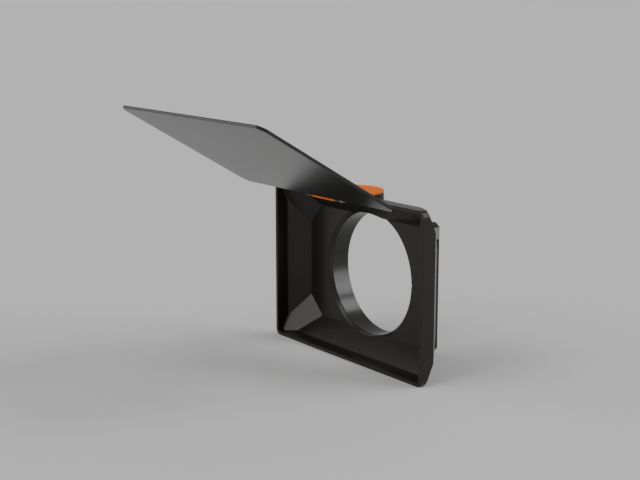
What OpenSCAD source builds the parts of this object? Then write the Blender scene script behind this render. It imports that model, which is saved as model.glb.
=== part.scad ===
// Clamp-on matte box: a shallow hood on a split lens collar, with a top flag on a swivelling hinge.
// Millimetres. X is the width, +Y points back to the lens, +Z is up.
// The parts are drawn with Y = 0 in the front face of the back plate, and then moved so that
// the origin is on the lens axis, halfway along the bore of the collar.

/* [Lens collar] */
// Diameter of the lens barrel that the collar clamps
bore_d = 95; // [80:1:104]
// Length of the collar along the lens
collar_len = 17.8; // [14:0.1:24]
// Wall of the collar
collar_wall = 2.5; // [2:0.1:3.5]
// Chamfer at the front edge of the bore
bore_chamfer = 2.2; // [0.5:0.1:2.2]
// Width of the slit that lets the collar close
slit_w = 2; // [1:0.1:3]
// Gap between the collar and the hole that it passes through
collar_gap = 0.3; // [0.2:0.05:0.6]

/* [Hood] */
// Outer width of the hood's mouth
mouth_w = 177.6; // [172:0.2:200]
// Outer height of the hood's mouth
mouth_h = 126; // [124:0.2:144]
// Depth from the mouth to the back plate
hood_depth = 24.2; // [22:0.1:32]
// Wall of the hood
hood_wall = 2.8; // [1.6:0.1:3]
// Wall of the four corner facets
corner_wall = 1.9; // [1.6:0.1:2.4]
// Depth of the straight part of the side walls
side_straight = 10.4; // [6:0.1:12]
// Depth of the straight part of the top and bottom walls
top_straight = 9.6; // [8:0.1:12]
// Outer radius of the four corners of the mouth
mouth_round = 5; // [3:0.5:10]
// Inner width of the throat at the back plate
throat_w = 145.8; // [136:0.2:150]
// Inner height of the throat at the back plate
throat_h = 90; // [84:1:94]

/* [Back plate] */
// Thickness of the back plate
plate_t = 3; // [2.4:0.1:5]
// Width of the back plate
plate_w = 151; // [146:1:160]
// Height of the back plate
plate_h = 115.6; // [114:0.2:124]
// Height of the magnet in each upper corner
magnet_h = 8.6; // [6:0.1:9]

/* [Flag] */
// Width of the flag
flag_w = 181.6; // [120:0.4:190]
// Depth of the flag from its rear edge to its front edge
flag_depth = 126.4; // [90:0.2:140]
// Thickness of the flag
flag_t = 2.2; // [1.8:0.1:3]
// Tilt of the flag above the horizontal at rest
flag_tilt = 30.2; // [10:0.1:60]
// Cut across each corner of the flag
flag_corner = 4.8; // [2:0.1:12]

/* [Flag mount] */
// Diameter of the swivel disc
disc_d = 48.4; // [46:0.2:56]
// Thickness of the swivel disc
disc_t = 1.6; // [1.4:0.1:3]
// Distance of the swivel axis in front of the back plate
swivel_out = 17; // [16:0.1:20]
// Thickness of the mount's floor over the hood
floor_t = 1.6; // [1.4:0.1:3]
// Radius of the hinge knuckles
knuckle_r = 2.9; // [2.8:0.1:3.6]
// Width of the hinge over its outer knuckles
hinge_w = 40; // [34:1:46]

/* [Hidden] */
$fn = 64;
bore_r = bore_d / 2;
collar_r = bore_r + collar_wall;
hole_r = collar_r + collar_gap;
mx = mouth_w / 2;
mz = mouth_h / 2;
tx = throat_w / 2;
tz = throat_h / 2;
px = plate_w / 2;
pz = plate_h / 2;
over = 1;
big = 400;
// Slopes of the funnel walls, in millimetres of spread for each millimetre of depth
side_run = hood_depth - side_straight;
top_run = hood_depth - top_straight;
side_slope = (mx - hood_wall - tx) / side_run;
top_slope = (mz - hood_wall - tz) / top_run;
side_skin = hood_wall * sqrt(1 + side_slope * side_slope);
top_skin = hood_wall * sqrt(1 + top_slope * top_slope);
// The corner facets: |X| + |Z| + corner_k * Y stays under corner_in inside and corner_out outside
corner_k = 2.2;
corner_n = sqrt(2 + corner_k * corner_k);
throat_cut = 14.9;
corner_in = tx + tz - throat_cut;
corner_out = corner_in + corner_wall * corner_n;
origin_y = (bore_chamfer + collar_len) / 2;
// Screws of 3 mm: clearance hole, thread, head and the brass insert that takes them
m3_r = 1.5;
m3_clear = 1.65;
m3_head_r = 2.75;
m3_head_h = 2;
hex_r = 1.15;
hex_deep = 1.2;
insert_r = 2.1;
insert_len = 3.6;
screw_len = plate_t + insert_len - 0.4;
boss_r = 3.4;
boss_wall = 2.4;
rim_play = 0.1;
head_play = 0.6;
// The screws stay in the plate's rim, outside the collar and the hood's funnel
throat_top = tz + top_skin;
head_ring = hole_r + m3_head_r + head_play;
hood_screw_x = 50;
hood_screw_z = max(pz - boss_r - rim_play, head_ring);
boss_len = max(insert_len + boss_wall, (hood_screw_z - throat_top) / top_slope);
hood_screws_at = [[-hood_screw_x, hood_screw_z], [hood_screw_x, hood_screw_z],
    [-hood_screw_x, -hood_screw_z], [hood_screw_x, -hood_screw_z], [0, -hood_screw_z]];
// Upper corner lugs and their magnets
lug_x = 12;
lug_rise = 5.3;
lug_top = tz + lug_rise;
lug_front = 2.4;
magnet_drop = 6.3;
magnet_low = tz - magnet_drop;
magnet_t = 2;
magnet_edge = 0.3;
side_low = 41;
top_flat = 54;
corner_round = [8.5, 4];
// Collar flange and ears
flange_t = 3;
flange_reach = 9;
flange_r = collar_r + flange_reach;
flange_half = 65;
flange_screw_out = 5;
flange_screw_r = collar_r + flange_screw_out;
flange_screws = [125, 165, 195, 235];
flange_screw_len = 2.6;
ear_h = 8;
ear_out = 10.4;
ear_y0 = plate_t + 1;
ear_y1 = collar_len - 3.8;
m4_r = 2;
m4_clear = 2.15;
m4_run = 2.05;
clamp_out = 6.2;
clamp_x = collar_r + clamp_out;
clamp_y = (ear_y0 + ear_y1) / 2;
nut4_af = 7;
nut4_h = 3.2;
washer_r = 4.2;
washer_t = 0.8;
clamp_knob_r = 5.6;
clamp_knob_h = 8;
clamp_top = slit_w / 2 + ear_h;
// Flag mount
disc_r = disc_d / 2;
disc_y = -swivel_out;
base_top = mz + floor_t;
shim_t = 0.4;
disc_z = base_top + shim_t;
disc_top = disc_z + disc_t;
base_wall = 2.6;
base_reach = 13.5;
base_front = swivel_out + base_reach;
base_seat = 0.1;
tab_screw_x = 12;
tab_thread = 3.4;
tab_over_hood = throat_top + tab_thread * top_slope + m3_r + head_play / 2;
tab_over_collar = sqrt(head_ring * head_ring - tab_screw_x * tab_screw_x);
tab_screw_z = max(pz - m3_head_r - 2 * rim_play, tab_over_hood, tab_over_collar);
seat_top = max(pz, tab_screw_z + m3_head_r + rim_play);
shim_r = 9;
bolt_head_r = 3.5;
bolt_head_h = 2.4;
head_pocket = 3.8;
nut4_thin = 2.2;
// Hinge, placed by its pin
hinge_reach = 24;
hinge_lift = 0.8;
hinge_y = -(swivel_out + hinge_reach);
hinge_z = disc_top - knuckle_r + hinge_lift;
chord_y = hinge_y + knuckle_r + 0.9;
lug_w = 6.4;
core_half = hinge_w / 2 - lug_w;
side_play = 0.3;
washer_gap = 0.05;
knob_grip = 5;
pin_play = 0.05;
pin_r = m3_r;
pin_head_h = 2.4;
pin_nut_h = 3;
flag_low = -4;
flag_start = 8.1;
leaf_t = 2;
leaf_back = knuckle_r + 1.8;
leaf_end = 30;
leaf_corner = 4;
leaf_screw_x = 14;
leaf_screw_rows = [13, 25];
leaf_screws_at = [for (y = leaf_screw_rows, s = [-1, 1]) [s * leaf_screw_x, y]];
leaf_screw_r = 1.25;
leaf_head_r = 2.2;
leaf_head_h = 1.2;

// Moves the drawing so that the origin is halfway along the bore
module place() {
    translate([0, -origin_y, 0]) children();
}

// A cylinder along +Y from y0 to y1
module rod_y(r, y0, y1) {
    translate([0, y0, 0]) rotate([-90, 0, 0]) cylinder(r = r, h = y1 - y0);
}

// A cylinder along +X from x0 to x1
module rod_x(r, x0, x1) {
    translate([x0, 0, 0]) rotate([0, 90, 0]) cylinder(r = r, h = x1 - x0);
}

// Everything beyond a plane with normal n at distance d from the origin
module beyond(n, d) {
    rotate([0, acos(n.z / norm(n)), atan2(n.y, n.x)]) translate([-big / 2, -big / 2, d]) cube(big);
}

// The four corner facets, as solids to cut away
module corner_cuts(sum) {
    for (sx = [-1, 1], sz = [-1, 1]) beyond([sx, corner_k, sz], sum / corner_n);
}

// A profile given as [half width, y] points, drawn on both sides of the axis
function both_sides(half) = concat(half, [for (i = [len(half) - 1:-1:0]) [-half[i][0], half[i][1]]]);

// A block round the Y axis with rounded corners, from y0 to y1
module rounded_block(hx, hz, round_r, y0, y1) {
    translate([round_r - hx, y0, -hz]) cube([2 * (hx - round_r), y1 - y0, 2 * hz]);
    translate([-hx, y0, round_r - hz]) cube([2 * hx, y1 - y0, 2 * (hz - round_r)]);
    for (sx = [-1, 1], sz = [-1, 1]) translate([sx * (hx - round_r), 0, sz * (hz - round_r)]) rod_y(round_r, y0, y1);
}

// The body between the mouth and the throat: skin is 0 inside and 1 outside
module hood_body(skin, front, back) {
    x1 = tx + skin * side_skin;
    z1 = tz + skin * top_skin;
    x0 = mx - (1 - skin) * hood_wall;
    z0 = mz - (1 - skin) * hood_wall;
    side = [[x0, -hood_depth - front], [x0, -(x0 - x1) / side_slope], [x1, 0], [x1, back]];
    rise = [[z0, -hood_depth - front], [z0, -(z0 - z1) / top_slope], [z1, 0], [z1, back]];
    difference() {
        intersection() {
            translate([0, 0, -big / 2]) linear_extrude(big) polygon(both_sides(side));
            rotate([0, -90, 0]) translate([0, 0, -big / 2]) linear_extrude(big) polygon(both_sides(rise));
            rounded_block(x0, z0, mouth_round - (1 - skin) * hood_wall, -hood_depth - big, big);
        }
        corner_cuts(skin == 1 ? corner_out : corner_in);
    }
}

module hood() {
    color([0.06, 0.06, 0.06]) difference() {
        union() {
            hood_body(1, 0, 0);
            for (p = hood_screws_at) translate([p[0], 0, p[1]]) rod_y(boss_r, -boss_len, 0);
        }
        hood_body(0, over, over);
        rod_y(bore_r, -hood_depth, over);
        translate([0, -swivel_out, 0]) cylinder(r = m4_clear, h = big);
        translate([0, -swivel_out, tz]) cylinder(r = head_pocket, h = mz - hood_wall - tz);
        for (p = hood_screws_at) translate([p[0], 0, p[1]]) rod_y(insert_r, -insert_len, over);
    }
}

module hood_inserts() {
    color([0.75, 0.6, 0.3]) for (p = hood_screws_at) translate([p[0], 0, p[1]]) difference() {
        rod_y(insert_r, -insert_len, 0);
        rod_y(m3_r, -insert_len - over, over);
    }
}

// A socket screw along -Y whose head rests on the face at y = 0
module socket_screw(r, length, head_r, head_h) {
    difference() {
        union() {
            rod_y(r, -length, 0);
            rod_y(head_r, 0, head_h);
        }
        translate([0, head_h - hex_deep, 0]) rotate([-90, 0, 0]) cylinder(r = hex_r, h = over + hex_deep, $fn = 6);
    }
}

module hood_screws() {
    color([0.15, 0.15, 0.16]) for (p = hood_screws_at) translate([p[0], plate_t, p[1]])
        socket_screw(m3_r, screw_len, m3_head_r, m3_head_h);
}

plate_side = [[top_flat, pz], [px - corner_round[0], lug_top], [px - corner_round[1], lug_top],
    [px, lug_top - corner_round[1] * 0.7], [px, -side_low], [px - (pz - side_low), -pz]];

// The plate, with a lobe for each screw that reaches past its edge
module plate_outline() {
    polygon(both_sides(plate_side));
    for (p = hood_screws_at) translate(p) circle(boss_r);
    for (s = [-1, 1]) translate([s * tab_screw_x, tab_screw_z]) circle(m3_head_r);
}

module magnet_box(grow) {
    for (s = [-1, 1]) translate([s * (px - magnet_t / 2), (plate_t - lug_front) / 2, magnet_low + magnet_h / 2])
        cube([magnet_t + 2 * grow, plate_t + lug_front - 2 * magnet_edge, magnet_h], center = true);
}

module side_magnets() {
    color([0.6, 0.6, 0.6]) magnet_box(0);
}

module back_plate() {
    color([0.06, 0.06, 0.06]) difference() {
        union() {
            rotate([90, 0, 0]) translate([0, 0, -plate_t]) linear_extrude(plate_t) plate_outline();
            difference() {
                rotate([90, 0, 0]) linear_extrude(lug_front) intersection() {
                    plate_outline();
                    for (s = [-1, 1]) translate([s > 0 ? px - lug_x : -px, magnet_low - 0.5]) square([lug_x, big]);
                }
                hood_body(1, 0, 0);
            }
        }
        rod_y(hole_r, -over, plate_t + over);
        for (s = [-1, 1]) translate([s * (px - magnet_t / 2 + over / 2), (plate_t - lug_front) / 2,
            magnet_low + magnet_h / 2])
            cube([magnet_t + over, plate_t + lug_front - 2 * magnet_edge, magnet_h], center = true);
        for (p = hood_screws_at) translate([p[0], 0, p[1]]) rod_y(m3_clear, -over, plate_t + over);
        for (s = [-1, 1]) translate([s * tab_screw_x, 0, tab_screw_z]) rod_y(m3_clear, -over, plate_t + over);
        for (a = flange_screws) rotate([0, -a, 0]) translate([flange_screw_r, 0, 0])
            rod_y(m3_r, plate_t - flange_screw_len, plate_t + over);
    }
}

module lens_collar() {
    color([0.06, 0.06, 0.06]) difference() {
        union() {
            rod_y(collar_r, 0, collar_len);
            intersection() {
                rod_y(flange_r, plate_t, plate_t + flange_t);
                rotate([90, 0, 0]) translate([0, 0, -plate_t - flange_t])
                    linear_extrude(flange_t) polygon(concat([[0, 0]],
                        [for (a = [180 - flange_half:10:180 + flange_half]) big * [cos(a), sin(a)]]));
            }
            translate([bore_r, ear_y0, -clamp_top]) cube([collar_wall + ear_out, ear_y1 - ear_y0, 2 * clamp_top]);
        }
        rod_y(bore_r, -over, collar_len + over);
        rotate([-90, 0, 0]) translate([0, 0, -0.01])
            cylinder(r1 = bore_r + bore_chamfer, r2 = bore_r, h = bore_chamfer);
        translate([0, -over, -slit_w / 2]) cube([big, collar_len + 2 * over, slit_w]);
        translate([clamp_x, clamp_y, 0]) cylinder(r = m4_clear, h = clamp_top + over);
        translate([clamp_x, clamp_y, -clamp_top - over]) cylinder(r = m4_clear, h = clamp_top + over);
        translate([clamp_x, clamp_y, -clamp_top - over]) rotate(30)
            cylinder(r = nut4_af / 2 / cos(30) + 0.02, h = nut4_h + over, $fn = 6);
        for (a = flange_screws) rotate([0, -a, 0]) translate([flange_screw_r, 0, 0])
            rod_y(m3_clear, plate_t - over, plate_t + flange_t + over);
    }
}

module collar_screws() {
    color([0.15, 0.15, 0.16]) for (a = flange_screws) rotate([0, -a, 0])
        translate([flange_screw_r, plate_t + flange_t, 0])
            socket_screw(m3_r, flange_t + flange_screw_len - 0.2, m3_head_r, m3_head_h);
}

module clamp_screw() {
    color([0.5, 0.5, 0.52]) translate([clamp_x, clamp_y, -clamp_top]) 
        cylinder(r = m4_r, h = 2 * clamp_top + washer_t + washer_gap + knob_grip);
}

module clamp_knob() {
    color([0.85, 0.42, 0.18]) translate([clamp_x, clamp_y, clamp_top + washer_t + washer_gap]) difference() {
        cylinder(r = clamp_knob_r, h = clamp_knob_h);
        translate([0, 0, -over]) cylinder(r = m4_r, h = knob_grip + over);
        for (a = [0:45:315]) rotate(a) translate([clamp_knob_r + 0.6, 0, 2]) cylinder(r = 1.4, h = clamp_knob_h);
    }
}

module clamp_washer() {
    color([0.6, 0.6, 0.6]) translate([clamp_x, clamp_y, clamp_top]) difference() {
        cylinder(r = washer_r, h = washer_t);
        translate([0, 0, -over]) cylinder(r = m4_run, h = washer_t + 2 * over);
    }
}

module clamp_nut() {
    color([0.6, 0.6, 0.6]) translate([clamp_x, clamp_y, -clamp_top]) rotate(30) difference() {
        cylinder(r = nut4_af / 2 / cos(30), h = nut4_h, $fn = 6);
        translate([0, 0, -over]) cylinder(r = m4_run, h = nut4_h + 2 * over);
    }
}

module flag_base() {
    color([0.06, 0.06, 0.06]) difference() {
        intersection() {
            translate([0, disc_y, 0]) cylinder(r = disc_r, h = base_top, $fn = 96);
            union() {
                // The floor, cut flat in front of the mouth
                translate([-big / 2, -base_front, base_top - floor_t]) cube([big, big, floor_t]);
                // The skirt that fills the space over the sloping top wall
                translate([-big / 2, -hood_depth + base_wall, tz]) cube([big, big, base_top - tz]);
            }
        }
        // The seat on the hood and on the back plate
        translate([0, 0, base_seat]) hood_body(1, 0, 0);
        translate([-big / 2, -base_seat, 0]) cube([big, big, seat_top + base_seat]);
        translate([0, disc_y, 0]) cylinder(r = m4_clear, h = big);
        for (s = [-1, 1]) translate([s * tab_screw_x, 0, tab_screw_z]) rod_y(m3_r, -tab_thread, over);
    }
}

module base_screws() {
    color([0.15, 0.15, 0.16]) for (s = [-1, 1]) translate([s * tab_screw_x, plate_t, tab_screw_z])
        socket_screw(m3_r, plate_t + tab_thread - 0.6, m3_head_r, m3_head_h);
}

module swivel_bolt() {
    low = mz - hood_wall;
    color([0.5, 0.5, 0.52]) translate([0, disc_y, 0]) difference() {
        union() {
            translate([0, 0, low - bolt_head_h]) cylinder(r = bolt_head_r, h = bolt_head_h);
            translate([0, 0, low]) cylinder(r = m4_r, h = disc_top + nut4_thin + 0.4 - low);
        }
        translate([0, 0, low - bolt_head_h - over]) cylinder(r = 1.45, h = over + 1.4, $fn = 6);
    }
}

module swivel_shim() {
    color([0.9, 0.9, 0.86]) translate([0, disc_y, base_top]) difference() {
        cylinder(r = shim_r, h = shim_t);
        translate([0, 0, -over]) cylinder(r = m4_run, h = shim_t + 2 * over);
    }
}

module swivel_nut() {
    color([0.6, 0.6, 0.6]) translate([0, disc_y, disc_top]) difference() {
        cylinder(r = nut4_af / 2 / cos(30), h = nut4_thin, $fn = 6);
        translate([0, 0, -over]) cylinder(r = m4_run, h = nut4_thin + 2 * over);
    }
}

// The round disc with the middle knuckle of the hinge on its front edge
module swivel_disc() {
    color([0.88, 0.42, 0.14]) difference() {
        union() {
            translate([0, disc_y, disc_z]) intersection() {
                cylinder(r = disc_r, h = disc_t, $fn = 96);
                translate([-big / 2, chord_y - disc_y, 0]) cube([big, big, disc_t]);
            }
            translate([-core_half, hinge_y, disc_z]) cube([2 * core_half, chord_y - hinge_y + over, disc_t]);
            translate([0, hinge_y, hinge_z]) rod_x(knuckle_r, -core_half, core_half);
        }
        translate([0, hinge_y, hinge_z]) rod_x(pin_r + pin_play, -hinge_w, hinge_w);
        translate([0, disc_y, 0]) cylinder(r = m4_run, h = big);
    }
}

module hinge_screw() {
    color([0.15, 0.15, 0.16]) translate([0, hinge_y, hinge_z]) difference() {
        union() {
            rod_x(pin_r, -hinge_w / 2 - pin_nut_h, hinge_w / 2);
            rod_x(m3_head_r, hinge_w / 2, hinge_w / 2 + pin_head_h);
        }
        translate([hinge_w / 2 + pin_head_h - hex_deep, 0, 0]) rotate([0, 90, 0])
            cylinder(r = hex_r, h = over + hex_deep, $fn = 6);
    }
}

module hinge_nut() {
    color([0.6, 0.6, 0.6]) translate([-hinge_w / 2 - pin_nut_h, hinge_y, hinge_z]) difference() {
        rotate([0, 90, 0]) cylinder(r = knuckle_r, h = pin_nut_h, $fn = 6);
        rod_x(pin_r + pin_play, -over, pin_nut_h + over);
    }
}

// Thin friction washers between the knuckles
module hinge_washers() {
    x = core_half;
    color([0.9, 0.9, 0.86]) translate([0, hinge_y, hinge_z]) for (s = [-1, 1])
        translate([s > 0 ? x : -x - side_play + washer_gap, 0, 0]) difference() {
            rod_x(knuckle_r - 0.3, 0, side_play - washer_gap);
            rod_x(pin_r + pin_play, -over, side_play + over);
        }
}

// Turns the flag's own frame, with its depth along +Y and its top up, to its place on the hinge
module on_hinge() {
    translate([0, hinge_y, hinge_z]) rotate([-flag_tilt, 0, 0]) mirror([0, 1, 0]) children();
}

module flag() {
    c = flag_corner;
    w = flag_w / 2;
    end = flag_start + flag_depth;
    outline = [[w - c, flag_start], [w, flag_start + c], [w, end - c], [w - c, end]];
    color([0.07, 0.07, 0.07]) on_hinge() translate([0, 0, flag_low]) difference() {
        linear_extrude(flag_t) polygon(both_sides(outline));
        for (p = leaf_screws_at) translate([p[0], p[1], 0.5]) cylinder(r = leaf_screw_r, h = flag_t);
    }
}

module flag_leaf() {
    z0 = flag_low + flag_t;
    inner = core_half + side_play;
    half = hinge_w / 2;
    color([0.06, 0.06, 0.06]) on_hinge() difference() {
        union() {
            for (s = [-1, 1]) {
                rod_x(knuckle_r, s > 0 ? inner : -half, s > 0 ? half : -inner);
                translate([s > 0 ? inner : -half, 0, z0]) cube([half - inner, leaf_back + 1, leaf_t]);
            }
            translate([0, 0, z0]) linear_extrude(leaf_t)
                polygon(both_sides([[half, leaf_back], [half, leaf_end - leaf_corner], [half - leaf_corner, leaf_end]]));
        }
        rod_x(pin_r + pin_play, -hinge_w, hinge_w);
        for (p = leaf_screws_at) translate([p[0], p[1], z0 - over]) cylinder(r = leaf_screw_r, h = big);
    }
}

module leaf_screws() {
    z0 = flag_low + flag_t + leaf_t;
    color([0.15, 0.15, 0.16]) on_hinge() for (p = leaf_screws_at) translate([p[0], p[1], z0]) difference() {
        union() {
            translate([0, 0, 0.6 - leaf_t - flag_t]) cylinder(r = leaf_screw_r, h = leaf_t + flag_t - 0.6);
            cylinder(r = leaf_head_r, h = leaf_head_h);
        }
        translate([0, 0, 0.5]) cylinder(r = 0.8, h = leaf_head_h, $fn = 6);
    }
}

place() hood();
place() hood_inserts();
place() back_plate();
place() hood_screws();
place() side_magnets();
place() lens_collar();
place() collar_screws();
place() clamp_screw();
place() clamp_knob();
place() clamp_washer();
place() clamp_nut();
place() flag_base();
place() base_screws();
place() swivel_bolt();
place() swivel_shim();
place() swivel_disc();
place() swivel_nut();
place() hinge_screw();
place() hinge_nut();
place() hinge_washers();
place() flag();
place() flag_leaf();
place() leaf_screws();
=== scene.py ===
"""A clamp-on matte box on a pale studio floor.

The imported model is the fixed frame. This script rounds the edges of its pieces, gives
each one a procedural finish, adds the turned and threaded details, and sets the
floor, the lights and the camera. All lengths are in metres.
"""

from __future__ import annotations

import logging
import math
from collections.abc import Sequence
from dataclasses import dataclass
from enum import Enum

import bmesh
import bpy
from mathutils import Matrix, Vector

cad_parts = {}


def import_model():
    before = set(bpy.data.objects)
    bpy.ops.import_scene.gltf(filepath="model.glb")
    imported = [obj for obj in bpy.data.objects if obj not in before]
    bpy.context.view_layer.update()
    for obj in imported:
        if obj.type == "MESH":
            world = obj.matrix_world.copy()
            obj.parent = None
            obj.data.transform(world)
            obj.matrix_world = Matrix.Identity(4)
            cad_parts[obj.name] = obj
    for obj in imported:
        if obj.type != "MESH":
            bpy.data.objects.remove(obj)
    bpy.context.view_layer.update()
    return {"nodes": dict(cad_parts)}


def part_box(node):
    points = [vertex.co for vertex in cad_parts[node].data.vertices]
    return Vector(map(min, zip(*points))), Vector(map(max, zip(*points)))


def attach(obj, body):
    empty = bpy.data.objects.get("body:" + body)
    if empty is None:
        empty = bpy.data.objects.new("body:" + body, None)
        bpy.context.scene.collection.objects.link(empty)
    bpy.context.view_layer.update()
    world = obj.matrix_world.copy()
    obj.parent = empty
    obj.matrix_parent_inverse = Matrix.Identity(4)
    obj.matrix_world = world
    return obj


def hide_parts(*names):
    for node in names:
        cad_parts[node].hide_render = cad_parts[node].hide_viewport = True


LOG = logging.getLogger("matte_box")
MM = 0.001

# Noise hardly ever leaves this range, so a pattern mapped from it has no flat spots.
NOISE_RANGE = (0.12, 0.88)

Colour = tuple[float, float, float]
Place = tuple[float, float, float]
Direction = tuple[float, float, float]
Scale = tuple[float, float, float]
Profile = Sequence[tuple[float, float]]
Nodes = dict[str, bpy.types.Object]


class Body(Enum):
    """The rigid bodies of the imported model."""

    MAIN = "body"
    SWIVEL = "swivel"
    FLAG = "top_flag"
    KNOB = "knob"


class Slot(Enum):
    """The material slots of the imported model."""

    BLACK_PLASTIC = "black_plastic"
    ORANGE_PLASTIC = "orange_plastic"
    BLACK_STEEL = "black_steel"
    STEEL = "steel"
    NICKEL = "nickel"
    BRASS = "brass"
    NYLON = "nylon"


class Graph:
    """A material's node tree, with short calls to add and join nodes."""

    def __init__(self, name: str) -> None:
        """Starts a material with one shader joined to its output.

        Args:
            name: the material's name.
        """
        self.material = bpy.data.materials.new(name)
        self.material.use_nodes = True
        self.tree = self.material.node_tree
        self.tree.nodes.clear()
        self.shader = self.tree.nodes.new("ShaderNodeBsdfPrincipled")
        output = self.tree.nodes.new("ShaderNodeOutputMaterial")
        self.join(self.shader.outputs["BSDF"], output.inputs["Surface"])
        self.place = self.tree.nodes.new("ShaderNodeTexCoord").outputs["Object"]

    def join(self, source: bpy.types.NodeSocket, target: bpy.types.NodeSocket) -> None:
        """Links one socket to another."""
        self.tree.links.new(source, target)

    def set(self, **values: object) -> None:
        """Sets the shader's own sockets, with underscores for the spaces in their names."""
        for key, value in values.items():
            self.shader.inputs[key.replace("_", " ")].default_value = value

    def noise(
        self,
        size: float,
        detail: float,
        stretch: Scale = (1.0, 1.0, 1.0),
    ) -> bpy.types.NodeSocket:
        """Adds a noise pattern on the piece's own coordinates.

        Args:
            size: the size of its features.
            detail: how many finer octaves it has.
            stretch: scale along each axis, for brushed patterns.

        Returns:
            The noise's value socket.
        """
        mapping = self.tree.nodes.new("ShaderNodeMapping")
        mapping.inputs["Scale"].default_value = stretch
        self.join(self.place, mapping.inputs["Vector"])
        node = self.tree.nodes.new("ShaderNodeTexNoise")
        node.inputs["Scale"].default_value = 1.0 / size
        node.inputs["Detail"].default_value = detail
        self.join(mapping.outputs["Vector"], node.inputs["Vector"])
        return node.outputs["Fac"]

    def spread(
        self, pattern: bpy.types.NodeSocket, low: float, high: float
    ) -> bpy.types.NodeSocket:
        """Maps a noise pattern to a range.

        Args:
            pattern: the noise's value socket.
            low: the value at the pattern's low end.
            high: the value at the pattern's high end.

        Returns:
            The mapped value socket.
        """
        node = self.tree.nodes.new("ShaderNodeMapRange")
        node.inputs["From Min"].default_value = NOISE_RANGE[0]
        node.inputs["From Max"].default_value = NOISE_RANGE[1]
        node.inputs["To Min"].default_value = low
        node.inputs["To Max"].default_value = high
        self.join(pattern, node.inputs["Value"])
        return node.outputs["Result"]

    def paint(self, pattern: bpy.types.NodeSocket, dark: Colour, light: Colour) -> None:
        """Lets a noise pattern move the base colour between two colours.

        Args:
            pattern: the noise's value socket.
            dark: the colour at the pattern's low end.
            light: the colour at its high end.
        """
        share = self.spread(pattern, 0.0, 1.0)
        node = self.tree.nodes.new("ShaderNodeMix")
        node.data_type = "RGBA"
        node.inputs["A"].default_value = (*dark, 1.0)
        node.inputs["B"].default_value = (*light, 1.0)
        self.join(share, node.inputs["Factor"])
        self.join(node.outputs["Result"], self.shader.inputs["Base Color"])

    def bump(self, *patterns: tuple[bpy.types.NodeSocket, float]) -> None:
        """Adds relief to the shader, one layer on another.

        Args:
            patterns: each pattern's socket and its depth.
        """
        normal = None
        for source, depth in patterns:
            node = self.tree.nodes.new("ShaderNodeBump")
            node.inputs["Distance"].default_value = depth
            self.join(source, node.inputs["Height"])
            if normal is not None:
                self.join(normal, node.inputs["Normal"])
            normal = node.outputs["Normal"]
        self.join(normal, self.shader.inputs["Normal"])


@dataclass(frozen=True)
class Moulded:
    """A moulded plastic: fine grain, faint flow marks and a slightly uneven gloss.

    A grain depth of 0 leaves the grain out.
    """

    name: str
    slot: Slot
    dark: Colour
    light: Colour
    roughness: tuple[float, float]
    grain_size: float = 0.35 * MM
    grain_depth: float = 0.0005 * MM
    flow_size: float = 26.0 * MM
    flow_depth: float = 0.003 * MM
    scatter: float = 0.0
    shine: float = 0.5
    ior: float = 1.5

    def material(self) -> bpy.types.Material:
        """Builds the finish.

        Returns:
            The plastic as a material.
        """
        graph = Graph(self.name)
        cloud = graph.noise(self.flow_size, detail=3.0)
        graph.paint(cloud, self.dark, self.light)
        graph.join(graph.spread(cloud, *self.roughness), graph.shader.inputs["Roughness"])
        layers = [(cloud, self.flow_depth)]
        if self.grain_depth > 0:
            layers.append((graph.noise(self.grain_size, detail=1.0), self.grain_depth))
        graph.bump(*layers)
        graph.set(IOR=self.ior, Subsurface_Weight=self.scatter, Specular_IOR_Level=self.shine)
        return graph.material


@dataclass(frozen=True)
class Metal:
    """A metal with fine tool marks, plated, oxidised or bare."""

    name: str
    slot: Slot
    dark: Colour
    light: Colour
    roughness: tuple[float, float]
    metallic: float = 1.0
    patina_size: float = 2.2 * MM
    mark_size: float = 0.12 * MM
    mark_stretch: Scale = (1.0, 1.0, 7.0)
    mark_depth: float = 0.004 * MM

    def material(self) -> bpy.types.Material:
        """Builds the finish.

        Returns:
            The metal as a material.
        """
        graph = Graph(self.name)
        patina = graph.noise(self.patina_size, detail=4.0)
        marks = graph.noise(self.mark_size, detail=2.0, stretch=self.mark_stretch)
        graph.paint(patina, self.dark, self.light)
        graph.join(graph.spread(patina, *self.roughness), graph.shader.inputs["Roughness"])
        graph.bump((marks, self.mark_depth))
        graph.set(Metallic=self.metallic, IOR=1.5)
        return graph.material


Finish = Moulded | Metal

BLACK = Moulded(
    "satin_black_plastic",
    Slot.BLACK_PLASTIC,
    dark=(0.0145, 0.0122, 0.0094),
    light=(0.0165, 0.0140, 0.0110),
    roughness=(0.26, 0.31),
    ior=1.42,
)
FLAG_BLACK = Moulded(
    "flag_black_plastic",
    Slot.BLACK_PLASTIC,
    dark=(0.0110, 0.0107, 0.0101),
    light=(0.0125, 0.0121, 0.0115),
    roughness=(0.25, 0.275),
    grain_depth=0.0,
    flow_depth=0.002 * MM,
)
COLLAR_BLACK = Moulded(
    "smooth_black_plastic",
    Slot.BLACK_PLASTIC,
    dark=(0.0110, 0.0095, 0.0080),
    light=(0.0140, 0.0124, 0.0104),
    roughness=(0.24, 0.28),
    flow_depth=0.002 * MM,
    ior=1.55,
)
BASE_BLACK = Moulded(
    "matte_black_plastic",
    Slot.BLACK_PLASTIC,
    dark=(0.0125, 0.0118, 0.0106),
    light=(0.0145, 0.0137, 0.0124),
    roughness=(0.36, 0.42),
    shine=0.2,
    ior=1.42,
)
ORANGE = Moulded(
    "satin_orange_plastic",
    Slot.ORANGE_PLASTIC,
    dark=(0.97, 0.175, 0.004),
    light=(1.00, 0.190, 0.005),
    roughness=(0.50, 0.58),
    shine=0.15,
)
NYLON = Moulded(
    "natural_nylon",
    Slot.NYLON,
    dark=(0.46, 0.45, 0.41),
    light=(0.52, 0.51, 0.47),
    roughness=(0.40, 0.50),
    scatter=0.15,
)
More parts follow.
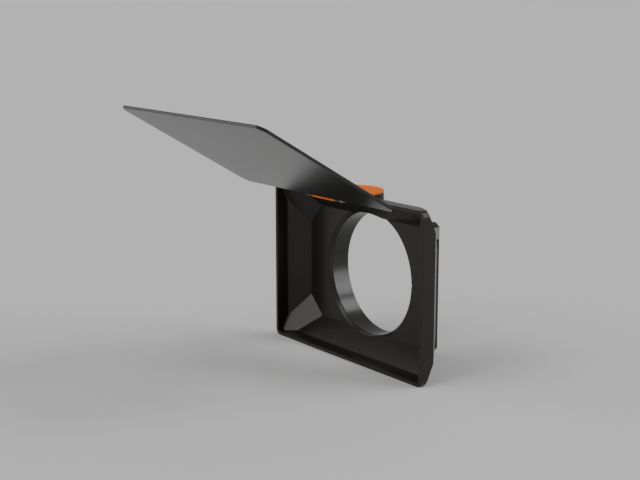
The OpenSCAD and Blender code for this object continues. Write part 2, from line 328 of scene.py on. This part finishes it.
BLACK_NYLON = Moulded(
    "black_nylon",
    Slot.NYLON,
    dark=(0.012, 0.012, 0.012),
    light=(0.016, 0.016, 0.016),
    roughness=(0.40, 0.50),
    shine=0.3,
)
OXIDE = Metal(
    "black_oxide_steel",
    Slot.BLACK_STEEL,
    dark=(0.012, 0.012, 0.013),
    light=(0.030, 0.030, 0.032),
    roughness=(0.30, 0.42),
    metallic=0.6,
)
ZINC = Metal(
    "zinc_plated_steel",
    Slot.STEEL,
    dark=(0.42, 0.43, 0.45),
    light=(0.60, 0.60, 0.61),
    roughness=(0.22, 0.36),
)
NICKEL = Metal(
    "satin_nickel",
    Slot.NICKEL,
    dark=(0.23, 0.235, 0.22),
    light=(0.30, 0.305, 0.29),
    roughness=(0.32, 0.44),
)
BRASS = Metal(
    "turned_brass",
    Slot.BRASS,
    dark=(0.55, 0.36, 0.11),
    light=(0.70, 0.48, 0.17),
    roughness=(0.24, 0.36),
)


class Wardrobe:
    """Makes each finish once and puts it on pieces."""

    def __init__(self) -> None:
        """Starts with no materials made."""
        self.made: dict[str, bpy.types.Material] = {}

    def of(self, finish: Finish) -> bpy.types.Material:
        """Gives a finish's material, which is made at its first use.

        Args:
            finish: the finish.

        Returns:
            Its material.
        """
        if finish.name not in self.made:
            self.made[finish.name] = finish.material()
        return self.made[finish.name]

    def dress(
        self, piece: bpy.types.Object, finish: Finish, body: Body, *nodes: str
    ) -> bpy.types.Object:
        """Gives a new piece its finish, its body and the nodes that it stands for.

        Args:
            piece: the new piece, in place.
            finish: its finish.
            body: the body that it moves with.
            nodes: the nodes that it replaces, if any.

        Returns:
            The piece.
        """
        piece.data.materials.clear()
        piece.data.materials.append(self.of(finish))
        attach(piece, body.value)
        if nodes:
            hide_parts(*nodes)
        return piece


def shown(name: str, mesh: bmesh.types.BMesh, smooth_angle: float = 35.0) -> bpy.types.Object:
    """Turns a finished bmesh into an object in the scene.

    Args:
        name: the object's name.
        mesh: the bmesh, which is freed.
        smooth_angle: edges sharper than this, in degrees, stay sharp.

    Returns:
        The new object, at the origin.
    """
    for face in mesh.faces:
        face.smooth = True
    for edge in mesh.edges:
        edge.smooth = edge.is_manifold and edge.calc_face_angle() < math.radians(smooth_angle)
    data = bpy.data.meshes.new(name)
    mesh.to_mesh(data)
    mesh.free()
    imported_normals = data.attributes.get("custom_normal")
    if imported_normals is not None:
        data.attributes.remove(imported_normals)
    piece = bpy.data.objects.new(name, data)
    bpy.context.scene.collection.objects.link(piece)
    return piece


@dataclass
class RoundedNode:
    """A copy of a node with its longer edges rounded, which stands for the node.

    Edges shorter than shortest, or flatter than limit in degrees, aren't rounded. With a
    crease radius, the long hollow edges behind the front are rounded as well. A wall is
    straight when its normal leans along Y by less than straight.
    """

    node: str
    finish: Finish
    body: Body
    radius: float
    shortest: float = 0.0
    front_only: bool = False
    segments: int = 3
    limit: float = 28.0
    crease: float = 0.0
    crease_shortest: float = 8.0 * MM
    crease_segments: int = 5
    straight: float = 0.05
    merge: float = 0.002 * MM
    sliver: float = 0.01 * MM
    flat_angle: float = 0.6
    front_margin: float = 0.05 * MM

    def build(self, wardrobe: Wardrobe, nodes: Nodes) -> bpy.types.Object:
        """Builds the piece and dresses it.

        Args:
            wardrobe: the finishes.
            nodes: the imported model's nodes.

        Returns:
            The new piece.
        """
        mesh = bmesh.new()
        mesh.from_mesh(nodes[self.node].data)
        bmesh.ops.remove_doubles(mesh, verts=mesh.verts, dist=self.merge)
        bmesh.ops.dissolve_degenerate(mesh, dist=self.sliver, edges=mesh.edges)
        bmesh.ops.dissolve_limit(
            mesh,
            angle_limit=math.radians(self.flat_angle),
            verts=mesh.verts,
            edges=mesh.edges,
            delimit={"NORMAL"},
        )
        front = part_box(self.node)[0].y + self.front_margin if self.front_only else math.inf
        if self.crease > 0:
            creases = [edge for edge in mesh.edges if self.folds(edge, front)]
            self.round_edges(mesh, creases, self.crease, self.crease_segments)
        picked = [edge for edge in mesh.edges if self.picks(edge, front)]
        self.round_edges(mesh, picked, self.radius, self.segments)
        wide = [face for face in mesh.faces if len(face.verts) > 4]
        bmesh.ops.triangulate(mesh, faces=wide, quad_method="BEAUTY", ngon_method="BEAUTY")
        piece = shown(f"{self.node}_rounded", mesh, self.limit)
        piece.modifiers.new("face_normals", "WEIGHTED_NORMAL").keep_sharp = True
        return wardrobe.dress(piece, self.finish, self.body, self.node)

    def round_edges(
        self,
        mesh: bmesh.types.BMesh,
        edges: list[bmesh.types.BMEdge],
        radius: float,
        segments: int,
    ) -> None:
        """Rounds some edges of the copy.

        Args:
            mesh: the merged copy.
            edges: the edges to round.
            radius: how far the rounding reaches on each side.
            segments: how many strips it has.
        """
        bmesh.ops.bevel(
            mesh,
            geom=edges,
            offset=radius,
            offset_type="OFFSET",
            segments=segments,
            profile=0.5,
            affect="EDGES",
            clamp_overlap=False,
            material=-1,
        )

    def folds(self, edge: bmesh.types.BMEdge, front: float) -> bool:
        """Tells whether an edge is the long hollow crease where the funnel starts.

        Args:
            edge: an edge of the merged copy.
            front: only creases behind this plane are meant.

        Returns:
            True for a hollow edge between a straight wall and the funnel.
        """
        if not edge.is_manifold or edge.is_convex or edge.calc_length() < self.crease_shortest:
            return False
        behind = all(vert.co.y > front for vert in edge.verts)
        slopes = sorted(face.normal.y for face in edge.link_faces)
        return behind and slopes[0] < -self.straight and abs(slopes[1]) < self.straight

    def picks(self, edge: bmesh.types.BMEdge, front: float) -> bool:
        """Tells whether an edge is rounded.

        Args:
            edge: an edge of the merged copy.
            front: only edges in front of this plane are rounded.

        Returns:
            True for a sharp edge that is long enough and lies in front of the plane.
        """
        sharp = edge.is_manifold and edge.calc_face_angle() > math.radians(self.limit)
        before = all(vert.co.y < front for vert in edge.verts)
        return sharp and before and edge.calc_length() >= self.shortest


def spun(profile: Profile, steps: int, merge: float) -> bmesh.types.BMesh:
    """Spins a profile round the Z axis.

    Args:
        profile: its (radius, height) points, in order.
        steps: how many sides the shape gets.
        merge: points nearer to each other than this become one.

    Returns:
        The shape, with closed poles.
    """
    mesh = bmesh.new()
    verts = [mesh.verts.new((radius, 0.0, height)) for radius, height in profile]
    edges = [mesh.edges.new(pair) for pair in zip(verts, verts[1:])]
    bmesh.ops.spin(
        mesh,
        geom=verts + edges,
        axis=(0, 0, 1),
        cent=(0, 0, 0),
        angle=math.tau,
        steps=steps,
        use_merge=True,
    )
    bmesh.ops.remove_doubles(mesh, verts=mesh.verts, dist=merge)
    return mesh


@dataclass
class Turned:
    """A piece spun on a lathe, with its profile's origin at a given place."""

    name: str
    profile: Profile
    place: Place
    sides: int = 48
    merge: float = 0.001 * MM

    def build(self) -> bpy.types.Object:
        """Spins the piece.

        Returns:
            The piece, in place.
        """
        mesh = spun(self.profile, self.sides, self.merge)
        bmesh.ops.recalc_face_normals(mesh, faces=mesh.faces)
        bmesh.ops.translate(mesh, vec=self.place, verts=mesh.verts)
        return shown(self.name, mesh)


@dataclass
class ThreadedRod:
    """A rod with thread rings and a lower ring near each end, standing on a place along +Z.

    The depth and the crest of a ring are shares of the pitch. An end ring is lower by a
    share of the depth, and stands at a share of the length left for it.
    """

    name: str
    radius: float
    length: float
    place: Place
    pitch: float = 0.7 * MM
    depth: float = 0.45
    crest: tuple[float, float] = (0.42, 0.58)
    end_drop: float = 0.2
    end_place: float = 0.7
    sides: int = 32

    def build(self) -> bpy.types.Object:
        """Spins the rod.

        Returns:
            The rod, in place.
        """
        depth = self.depth * self.pitch
        turns = int((self.length - 2 * self.pitch) / self.pitch)
        end = (self.length - turns * self.pitch) / 2
        root = self.radius - depth
        low_ring = self.radius - self.end_drop * depth
        inset = self.end_place * end
        profile = [(0.0, 0.0), (root, 0.0), (low_ring, inset), (root, end)]
        for turn in range(turns):
            base = end + turn * self.pitch
            profile += [
                (self.radius, base + self.crest[0] * self.pitch),
                (self.radius, base + self.crest[1] * self.pitch),
                (root, base + self.pitch),
            ]
        profile += [(low_ring, self.length - inset), (root, self.length), (0.0, self.length)]
        return Turned(self.name, profile, self.place, self.sides).build()


@dataclass
class Hood:
    """The flared hood, its back plate and what fastens them."""

    rim_round: float = 0.3 * MM
    crease_round: float = 1.6 * MM
    facet_limit: float = 18.0
    plate_round: float = 0.2 * MM
    plate_shortest: float = 10.0 * MM
    magnet_round: float = 0.25 * MM
    screw_round: float = 0.2 * MM
    insert_round: float = 0.15 * MM

    def build(self, wardrobe: Wardrobe, nodes: Nodes) -> list[bpy.types.Object]:
        """Builds every piece of the hood.

        Args:
            wardrobe: the finishes.
            nodes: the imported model's nodes.

        Returns:
            The hood's pieces.
        """
        rounded = (
            RoundedNode(
                "hood",
                BLACK,
                Body.MAIN,
                self.rim_round,
                front_only=True,
                limit=self.facet_limit,
                crease=self.crease_round,
            ),
            RoundedNode("back_plate", BLACK, Body.MAIN, self.plate_round, self.plate_shortest),
            RoundedNode("side_magnets", NICKEL, Body.MAIN, self.magnet_round),
            RoundedNode("hood_screws", OXIDE, Body.MAIN, self.screw_round),
            RoundedNode("hood_inserts", BRASS, Body.MAIN, self.insert_round),
        )
        return [piece.build(wardrobe, nodes) for piece in rounded]


@dataclass
class Collar:
    """The split collar with its clamp."""

    ring_round: float = 0.25 * MM
    ring_shortest: float = 1.2 * MM
    screw_round: float = 0.2 * MM
    nut_round: float = 0.3 * MM
    washer_round: float = 0.15 * MM
    knob_round: float = 0.45 * MM
    cap_profile: Profile = (
        (0.0, 0.55 * MM),
        (1.2 * MM, 0.5 * MM),
        (2.2 * MM, 0.32 * MM),
        (2.7 * MM, 0.0),
        (2.7 * MM, -0.3 * MM),
    )

    def build(self, wardrobe: Wardrobe, nodes: Nodes) -> list[bpy.types.Object]:
        """Builds the collar and the clamp.

        Args:
            wardrobe: the finishes.
            nodes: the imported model's nodes.

        Returns:
            The collar's and the clamp's pieces.
        """
        rounded = (
            RoundedNode(
                "lens_collar", COLLAR_BLACK, Body.MAIN, self.ring_round, self.ring_shortest
            ),
            RoundedNode("collar_screws", OXIDE, Body.MAIN, self.screw_round),
            RoundedNode("clamp_nut", ZINC, Body.MAIN, self.nut_round),
            RoundedNode("clamp_washer", ZINC, Body.MAIN, self.washer_round),
            RoundedNode("clamp_knob", ORANGE, Body.KNOB, self.knob_round),
        )
        pieces = [piece.build(wardrobe, nodes) for piece in rounded]
        pieces.append(self.screw(wardrobe))
        pieces.append(self.cap(wardrobe))
        return pieces

    def screw(self, wardrobe: Wardrobe) -> bpy.types.Object:
        """Builds the clamp screw with its thread in place of the plain rod.

        Args:
            wardrobe: the finishes.

        Returns:
            The screw.
        """
        low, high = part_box("clamp_screw")
        centre = (low + high) / 2
        foot = (centre.x, centre.y, low.z)
        rod = ThreadedRod("clamp_screw_thread", high.x - centre.x, high.z - low.z, foot)
        return wardrobe.dress(rod.build(), ZINC, Body.KNOB, "clamp_screw")

    def cap(self, wardrobe: Wardrobe) -> bpy.types.Object:
        """Builds the low domed cap in the middle of the knob's top.

        Args:
            wardrobe: the finishes.

        Returns:
            The cap.
        """
        low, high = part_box("clamp_knob")
        centre = (low + high) / 2
        cap = Turned("clamp_knob_cap", self.cap_profile, (centre.x, centre.y, high.z))
        return wardrobe.dress(cap.build(), BLACK, Body.KNOB)


@dataclass
class FlagMount:
    """The round base, the swivel disc and their bolt."""

    base_round: float = 0.25 * MM
    base_shortest: float = 1.2 * MM
    fastener_round: float = 0.2 * MM
    nut_round: float = 0.25 * MM
    shim_round: float = 0.1 * MM
    disc_round: float = 0.2 * MM
    washer_round: float = 0.05 * MM

    def build(self, wardrobe: Wardrobe, nodes: Nodes) -> list[bpy.types.Object]:
        """Builds the mount.

        Args:
            wardrobe: the finishes.
            nodes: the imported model's nodes.

        Returns:
            The mount's pieces.
        """
        rounded = (
            RoundedNode("flag_base", BASE_BLACK, Body.MAIN, self.base_round, self.base_shortest),
            RoundedNode("base_screws", OXIDE, Body.MAIN, self.fastener_round),
            RoundedNode("swivel_bolt", ZINC, Body.MAIN, self.fastener_round),
            RoundedNode("swivel_nut", ZINC, Body.MAIN, self.nut_round),
            RoundedNode("swivel_shim", NYLON, Body.MAIN, self.shim_round),
            RoundedNode("swivel_disc", ORANGE, Body.SWIVEL, self.disc_round),
            RoundedNode("hinge_washers", BLACK_NYLON, Body.SWIVEL, self.washer_round),
        )
        return [piece.build(wardrobe, nodes) for piece in rounded]


@dataclass
class TopFlag:
    """The flag, its leaf and the hinge's screw and nut."""

    flag_round: float = 0.6 * MM
    flag_shortest: float = 1.5 * MM
    leaf_round: float = 0.3 * MM
    leaf_shortest: float = 1.2 * MM
    screw_round: float = 0.15 * MM
    hinge_round: float = 0.2 * MM

    def build(self, wardrobe: Wardrobe, nodes: Nodes) -> list[bpy.types.Object]:
        """Builds the flag.

        Args:
            wardrobe: the finishes.
            nodes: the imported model's nodes.

        Returns:
            The flag's and the hinge's pieces.
        """
        rounded = (
            RoundedNode("flag", FLAG_BLACK, Body.FLAG, self.flag_round, self.flag_shortest),
            RoundedNode("flag_leaf", BLACK, Body.FLAG, self.leaf_round, self.leaf_shortest),
            RoundedNode("leaf_screws", OXIDE, Body.FLAG, self.screw_round),
            RoundedNode("hinge_screw", ZINC, Body.FLAG, self.hinge_round),
            RoundedNode("hinge_nut", OXIDE, Body.FLAG, self.hinge_round),
        )
        return [piece.build(wardrobe, nodes) for piece in rounded]


@dataclass(frozen=True)
class Softbox:
    """A far, wide light: its direction seen from the object, its width in degrees, its strength."""

    name: str
    towards: Direction
    width: float
    strength: float
    distance: float = 3.0

    def build(self) -> None:
        """Adds the light to the scene."""
        data = bpy.data.lights.new(self.name, "SUN")
        data.angle = math.radians(self.width)
        data.energy = self.strength
        lamp = bpy.data.objects.new(self.name, data)
        lamp.rotation_mode = "QUATERNION"
        lamp.rotation_quaternion = Vector(self.towards).to_track_quat("Z", "Y")
        lamp.location = self.distance * Vector(self.towards)
        bpy.context.scene.collection.objects.link(lamp)


@dataclass
class Studio:
    """The floor, the lights and the camera.

    Angles are in degrees. The sky is the strength of the light from all sides. Towards the
    dark card it fades to dark_card_sky, between the two values of dark_card_reach.
    """

    floor_z: float = -63.0 * MM
    floor_colour: Colour = (0.80, 0.80, 0.795)
    azimuth: float = 53.2
    pitch: float = 11.4
    camera_at: Place = (694.4 * MM, -575.5 * MM, 206.7 * MM)
    lens: float = 67.8
    floor_radius: float = 60.0
    curve_radius: float = 6.0
    wall_top: float = 12.0
    opening_towards: float = 36.6
    opening_half: float = 55.0
    curve_steps: int = 16
    sheet_sides: int = 96
    sheet_merge: float = 1.0 * MM
    sheet_smooth: float = 60.0
    paper_size: float = 0.9
    paper_light: float = 1.01
    sky: float = 0.355
    dark_card: Direction = (-0.76, -0.08, 0.645)
    dark_card_reach: tuple[float, float] = (0.78, 0.92)
    dark_card_sky: float = 0.17
    softboxes: tuple[Softbox, ...] = (
        Softbox("front_box", (-0.12, -0.77, 0.625), width=40.0, strength=1.03),
        Softbox("left_box", (-0.785, -0.50, 0.38), width=26.0, strength=0.30),
        Softbox("rear_box_low", (0.79, 0.587, 0.18), width=20.0, strength=0.32),
        Softbox("rear_box_middle", (0.66, 0.587, 0.46), width=20.0, strength=0.42),
        Softbox("rear_box_high", (0.30, 0.587, 0.75), width=22.0, strength=0.46),
    )

    def build(self) -> bpy.types.Object:
        """Builds the studio.

        Returns:
            The sheet that makes its floor and wall.
        """
        sheet = self.stage()
        for box in self.softboxes:
            box.build()
        self.world()
        self.camera()
        return sheet

    def stage(self) -> bpy.types.Object:
        """Builds the floor and the wall as one round sheet, open towards the rear lights.

        Returns:
            The sheet.
        """
        profile = [(0.0, 0.0), (self.floor_radius, 0.0)]
        for step in range(1, self.curve_steps + 1):
            angle = step / self.curve_steps * math.pi / 2
            profile.append(
                (
                    self.floor_radius + self.curve_radius * math.sin(angle),
                    self.curve_radius * (1 - math.cos(angle)),
                )
            )
        profile.append((self.floor_radius + self.curve_radius, self.wall_top))
        mesh = spun(profile, self.sheet_sides, self.sheet_merge)
        opening = [face for face in mesh.faces if self.opens(face.calc_center_median())]
        bmesh.ops.delete(mesh, geom=opening, context="FACES")
        bmesh.ops.translate(mesh, vec=(0, 0, self.floor_z), verts=mesh.verts)
        bmesh.ops.recalc_face_normals(mesh, faces=mesh.faces)
        sheet = shown("studio_sheet", mesh, self.sheet_smooth)
        graph = Graph("pale_sheet")
        lighter = tuple(self.paper_light * part for part in self.floor_colour)
        graph.paint(graph.noise(self.paper_size, detail=2.0), self.floor_colour, lighter)
        graph.set(Roughness=0.9, Specular_IOR_Level=0.0)
        sheet.data.materials.append(graph.material)
        return sheet

    def opens(self, place: Vector) -> bool:
        """Tells whether a place on the sheet belongs to the opening in its wall.

        Args:
            place: a point on the sheet.

        Returns:
            True above the floor, in the directions that the opening covers.
        """
        apart = math.degrees(math.atan2(place.y, place.x)) - self.opening_towards
        return place.z > 0 and abs((apart + 180) % 360 - 180) < self.opening_half

    def world(self) -> None:
        """Sets the light from all sides, even but for a soft dark card on the left."""
        world = bpy.data.worlds.new("studio_air")
        world.use_nodes = True
        tree = world.node_tree
        towards = tree.nodes.new("ShaderNodeTexCoord")
        near_card = tree.nodes.new("ShaderNodeVectorMath")
        near_card.operation = "DOT_PRODUCT"
        near_card.inputs[1].default_value = self.dark_card
        fade = tree.nodes.new("ShaderNodeMapRange")
        fade.interpolation_type = "SMOOTHSTEP"
        fade.inputs["From Min"].default_value = self.dark_card_reach[0]
        fade.inputs["From Max"].default_value = self.dark_card_reach[1]
        fade.inputs["To Min"].default_value = self.sky
        fade.inputs["To Max"].default_value = self.dark_card_sky
        background = tree.nodes["Background"]
        background.inputs["Color"].default_value = (1.0, 1.0, 1.0, 1.0)
        tree.links.new(towards.outputs["Generated"], near_card.inputs[0])
        tree.links.new(near_card.outputs["Value"], fade.inputs["Value"])
        tree.links.new(fade.outputs["Result"], background.inputs["Strength"])
        bpy.context.scene.world = world

    def camera(self) -> None:
        """Adds the camera at the photograph's viewing angle."""
        data = bpy.data.cameras.new("camera")
        data.lens = self.lens
        data.sensor_width = 36.0
        data.clip_start = 0.01
        data.clip_end = 200.0
        camera = bpy.data.objects.new("camera", data)
        camera.location = self.camera_at
        camera.rotation_euler = (math.radians(90.0 - self.pitch), 0.0, math.radians(self.azimuth))
        bpy.context.scene.collection.objects.link(camera)
        bpy.context.scene.camera = camera


def report(piece: bpy.types.Object) -> None:
    """Logs a piece and its finish."""
    LOG.info("%s: %s", piece.name, piece.active_material.name)


def main() -> None:
    """Builds the matte box and its studio, and reports each piece."""
    logging.basicConfig(level=logging.INFO, format="%(name)s: %(message)s")
    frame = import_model()
    wardrobe = Wardrobe()
    for assembly in (Hood(), Collar(), FlagMount(), TopFlag()):
        for piece in assembly.build(wardrobe, frame["nodes"]):
            report(piece)
    report(Studio().build())


if __name__ == "__main__":
    main()
